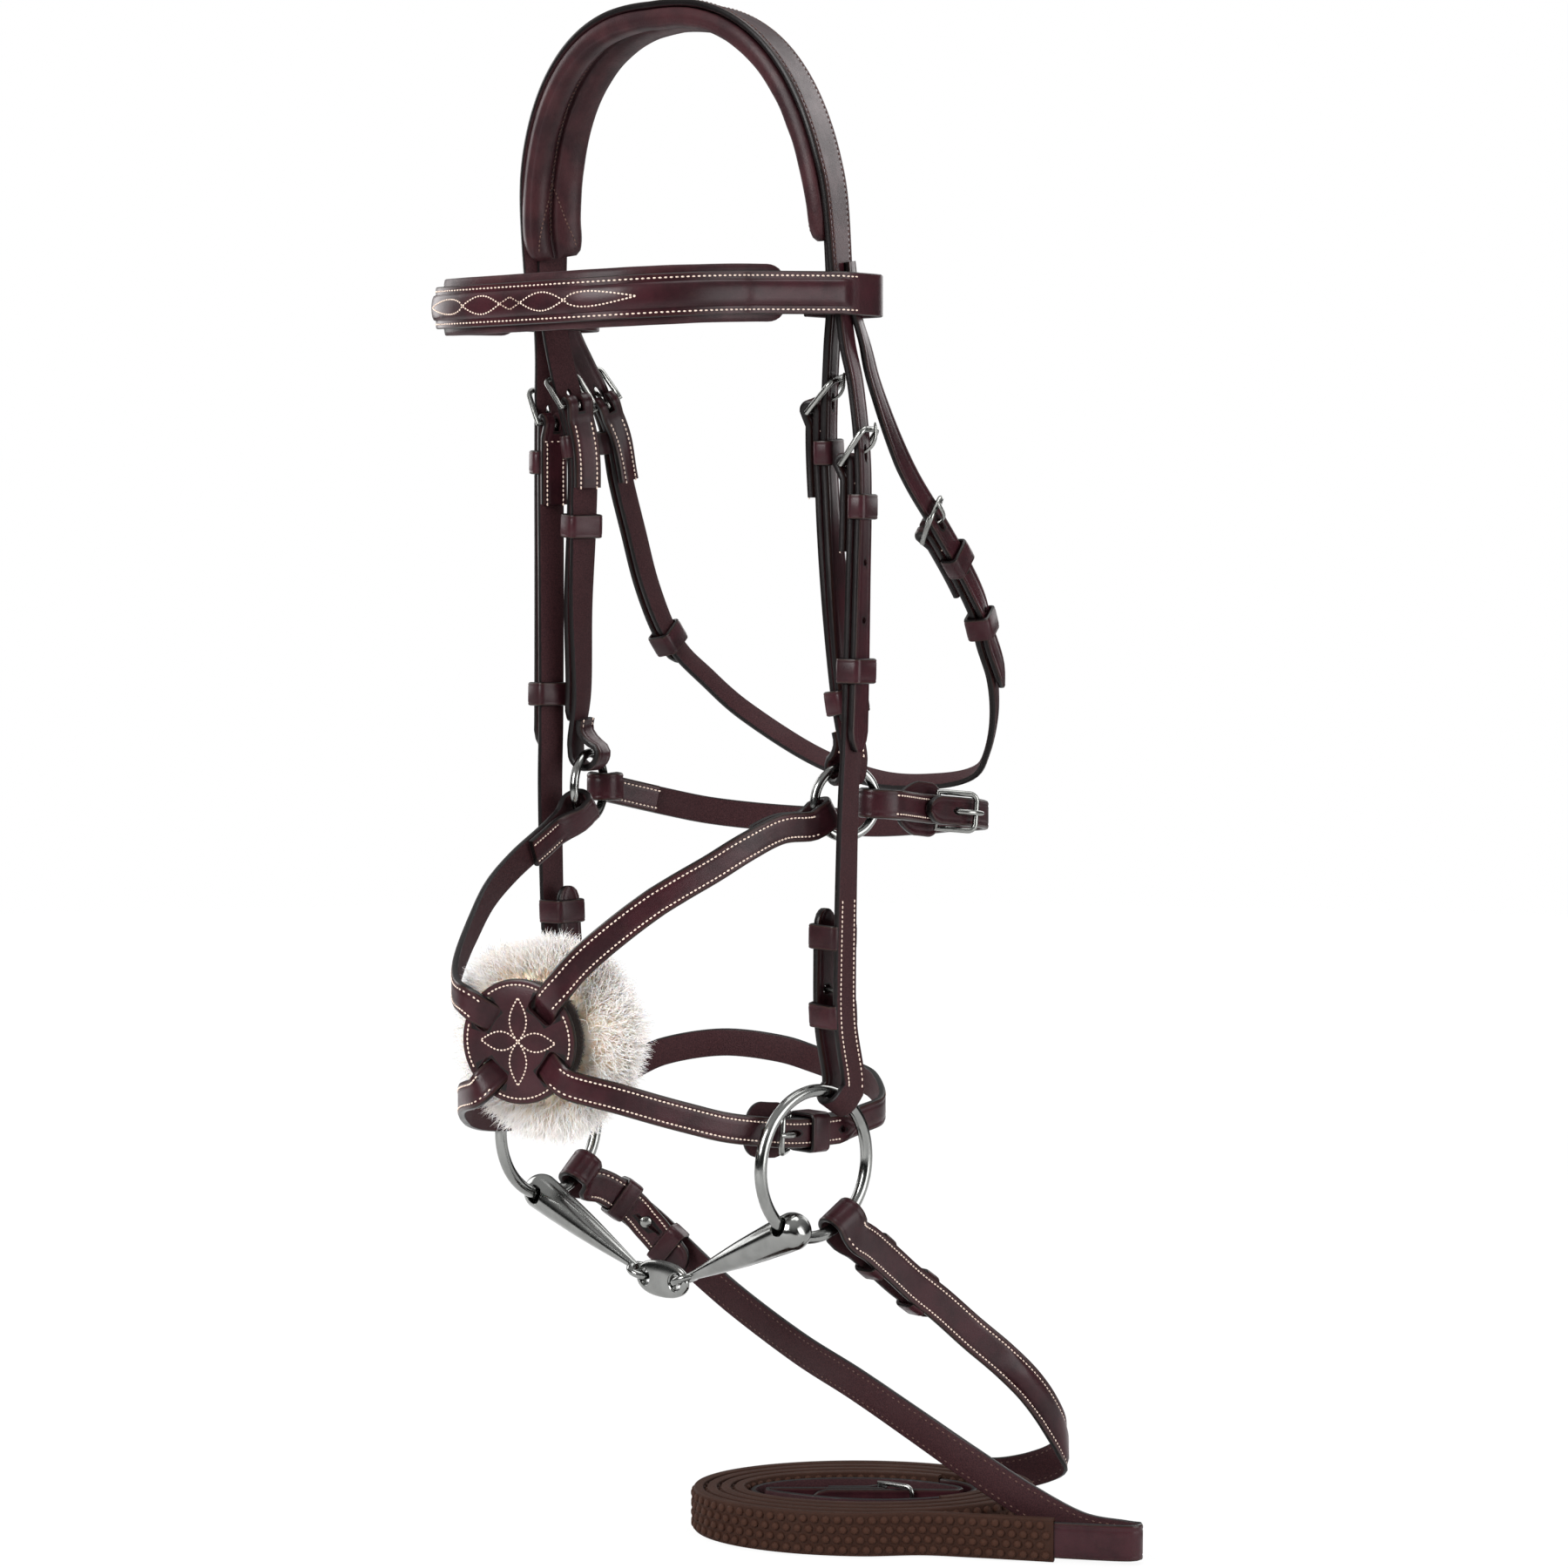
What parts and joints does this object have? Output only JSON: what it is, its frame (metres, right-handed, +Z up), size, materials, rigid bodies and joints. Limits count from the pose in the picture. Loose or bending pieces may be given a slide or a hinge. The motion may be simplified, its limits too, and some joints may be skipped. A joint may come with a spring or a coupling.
{
  "type": "figure eight noseband",
  "caption": "Leather snaffle bridle with a figure eight noseband: crossed straps through a sheepskin-backed nose disc, loose ring bit and coiled rubber-grip reins.",
  "frame": {"origin": "middle of the crown padding's underside, where it rests on the poll", "axes": "+X to the horse's left (near) side, -Y towards the front of its face, +Z up"},
  "size_m": [0.299, 0.279, 0.683],
  "materials": {
    "leather": "dark havana bridle leather, edges stained near black, satin",
    "padding": "softer dark brown lining leather over thin padding",
    "steel": "polished stainless steel",
    "fleece": "cream sheepskin pile",
    "rubber": "brown pimpled rubber grip"
  },
  "bodies": {
    "bridle": {"browband_padding": "padding", "browband_strap": "leather", "cheek_buckle_left": "steel", "cheek_buckle_right": "steel", "cheek_hook_stud_left": "steel", "cheek_hook_stud_right": "steel", "cheekpiece_left": "leather", "cheekpiece_right": "leather", "chin_buckle": "steel", "chin_keeper": "leather", "chin_safe": "leather", "cross_strap_left": "leather", "cross_strap_right": "leather", "crown_padding": "padding", "crown_strap": "leather", "disc_backing": "leather", "hanger_buckle_left": "steel", "hanger_buckle_right": "steel", "jowl_buckle": "steel", "jowl_chape": "leather", "jowl_safe": "leather", "jowl_strap": "leather", "nose_disc": "leather", "noseband_hanger_left": "leather", "noseband_hanger_right": "leather", "noseband_headstrap": "leather", "rein_centre_buckle": "steel", "rein_grip_left": "rubber", "rein_grip_right": "rubber", "rein_hook_stud_left": "steel", "rein_hook_stud_right": "steel", "rein_left": "leather", "rein_right": "leather", "sheepskin_pad": "fleece", "throat_buckle_left": "steel", "throat_buckle_right": "steel", "throatlatch": "leather"},
    "bit_cannon_left": {"bit_cannon_left": "steel"},
    "bit_cannon_right": {"bit_cannon_right": "steel"},
    "bit_lozenge": {"bit_lozenge": "steel"},
    "bit_ring_left": {"bit_ring_left": "steel"},
    "bit_ring_right": {"bit_ring_right": "steel"},
    "cheek_runner_left": {"cheek_runner_left": "leather"},
    "cheek_runner_right": {"cheek_runner_right": "leather"},
    "cheek_tongue_left": {"cheek_tongue_left": "steel"},
    "cheek_tongue_right": {"cheek_tongue_right": "steel"},
    "chin_tongue": {"chin_tongue": "steel"},
    "hanger_runner_left": {"hanger_runner_left": "leather"},
    "hanger_runner_right": {"hanger_runner_right": "leather"},
    "hanger_tongue_left": {"hanger_tongue_left": "steel"},
    "hanger_tongue_right": {"hanger_tongue_right": "steel"},
    "jowl_tongue": {"jowl_tongue": "steel"},
    "noseband_ring_left": {"noseband_ring_left": "steel"},
    "noseband_ring_right": {"noseband_ring_right": "steel"},
    "rein_centre_tongue": {"rein_centre_tongue": "steel"},
    "throat_runner_left": {"throat_runner_left": "leather"},
    "throat_runner_right": {"throat_runner_right": "leather"},
    "throat_tongue_left": {"throat_tongue_left": "steel"},
    "throat_tongue_right": {"throat_tongue_right": "steel"}
  },
  "joints": [
    {"name": "bit_ring_left_spin", "type": "hinge", "parent": "bridle", "child": "bit_ring_left", "pos_m": [0.0837, -0.0106, -0.498], "axis": [0.9986, -0.0523, 0], "continuous": true},
    {"name": "bit_ring_right_spin", "type": "hinge", "parent": "bridle", "child": "bit_ring_right", "pos_m": [-0.0837, -0.0106, -0.498], "axis": [-0.9986, -0.0523, 0], "continuous": true},
    {"name": "noseband_ring_left_spin", "type": "hinge", "parent": "bridle", "child": "noseband_ring_left", "pos_m": [0.0806, 0.013, -0.341], "axis": [0.9455, -0.3256, 0], "continuous": true},
    {"name": "noseband_ring_right_spin", "type": "hinge", "parent": "bridle", "child": "noseband_ring_right", "pos_m": [-0.0806, 0.013, -0.341], "axis": [-0.9455, -0.3256, 0], "continuous": true},
    {"name": "bit_cannon_left_swing", "type": "hinge", "parent": "bridle", "child": "bit_cannon_left", "pos_m": [0.08291, -0.02572, -0.52648], "axis": [0.0704, 0.9975, 0], "range_deg": [-1.5, 1.5]},
    {"name": "bit_lozenge_swing", "type": "hinge", "parent": "bit_cannon_left", "child": "bit_lozenge", "pos_m": [0.01017, -0.02058, -0.55827], "axis": [0.0704, 0.9975, 0], "range_deg": [-12, 12]},
    {"name": "bit_cannon_right_swing", "type": "hinge", "parent": "bit_lozenge", "child": "bit_cannon_right", "pos_m": [-0.01078, -0.0191, -0.55827], "axis": [0.0704, 0.9975, 0], "range_deg": [-12.4, 12.4]},
    {"name": "cheek_tongue_lift_left", "type": "hinge", "parent": "bridle", "child": "cheek_tongue_left", "pos_m": [0.09216, 0.00181, -0.19364], "axis": [-0.309, 0.951, 0.0141], "range_deg": [0, 4]},
    {"name": "cheek_tongue_lift_right", "type": "hinge", "parent": "bridle", "child": "cheek_tongue_right", "pos_m": [-0.09082, 0.00076, -0.17234], "axis": [-0.3088, -0.9503, -0.0395], "range_deg": [0, 4]},
    {"name": "hanger_tongue_lift_left", "type": "hinge", "parent": "bridle", "child": "hanger_tongue_left", "pos_m": [0.07349, 0.00071, -0.16958], "axis": [-0.303, 0.9326, 0.1958], "range_deg": [0, 3]},
    {"name": "hanger_tongue_lift_right", "type": "hinge", "parent": "bridle", "child": "hanger_tongue_right", "pos_m": [-0.0744, -0.00008, -0.16414], "axis": [-0.304, -0.9355, -0.1802], "range_deg": [0, 3]},
    {"name": "chin_tongue_lift", "type": "hinge", "parent": "bridle", "child": "chin_tongue", "pos_m": [0.06889, -0.01133, -0.48516], "axis": [0.0034, 0.079, 0.9969], "range_deg": [0, 3]},
    {"name": "jowl_tongue_lift", "type": "hinge", "parent": "bridle", "child": "jowl_tongue", "pos_m": [0.08529, 0.06893, -0.34716], "axis": [0.0065, -0.1131, -0.9936], "range_deg": [0, 3]},
    {"name": "throat_tongue_lift_left", "type": "hinge", "parent": "bridle", "child": "throat_tongue_left", "pos_m": [0.07956, 0.06926, -0.22226], "axis": [-0.1142, 0.6855, 0.7191], "range_deg": [0, 3]},
    {"name": "throat_tongue_lift_right", "type": "hinge", "parent": "bridle", "child": "throat_tongue_right", "pos_m": [-0.08409, 0.02856, -0.163], "axis": [-0.3953, -0.7947, -0.4607], "range_deg": [0, 1]},
    {"name": "rein_centre_tongue_lift", "type": "hinge", "parent": "bridle", "child": "rein_centre_tongue", "pos_m": [0.066, 0.05244, -0.6625], "axis": [0, 0, -1], "range_deg": [0, 1]},
    {"name": "cheek_runner_left_slide", "type": "slide", "parent": "bridle", "child": "cheek_runner_left", "axis": [-0.0117, -0.0168, -0.9998], "range_m": [-0.02, 0]},
    {"name": "cheek_runner_right_slide", "type": "slide", "parent": "bridle", "child": "cheek_runner_right", "axis": [0.0133, -0.0207, -0.9997], "range_m": [-0.02, 0]},
    {"name": "hanger_runner_left_slide", "type": "slide", "parent": "bridle", "child": "hanger_runner_left", "axis": [0.1311, 0.0692, -0.989], "range_m": [0, 0.006]},
    {"name": "hanger_runner_right_slide", "type": "slide", "parent": "bridle", "child": "hanger_runner_right", "axis": [-0.074, 0.0324, -0.9967], "range_m": [-0.01, 0.014]},
    {"name": "throat_runner_left_slide", "type": "slide", "parent": "bridle", "child": "throat_runner_left", "axis": [-0.0894, 0.432, -0.8974], "range_m": [-0.003, 0.003]},
    {"name": "throat_runner_right_slide", "type": "slide", "parent": "bridle", "child": "throat_runner_right", "axis": [0.0652, 0.5873, -0.8067], "range_m": [0, 0.003]}
  ],
  "couplings": [
    {"joint": "bit_cannon_left_swing", "follows": "bit_lozenge_swing", "ratio": -0.11922},
    {"joint": "bit_cannon_right_swing", "follows": "bit_lozenge_swing", "ratio": -1.0152}
  ]
}
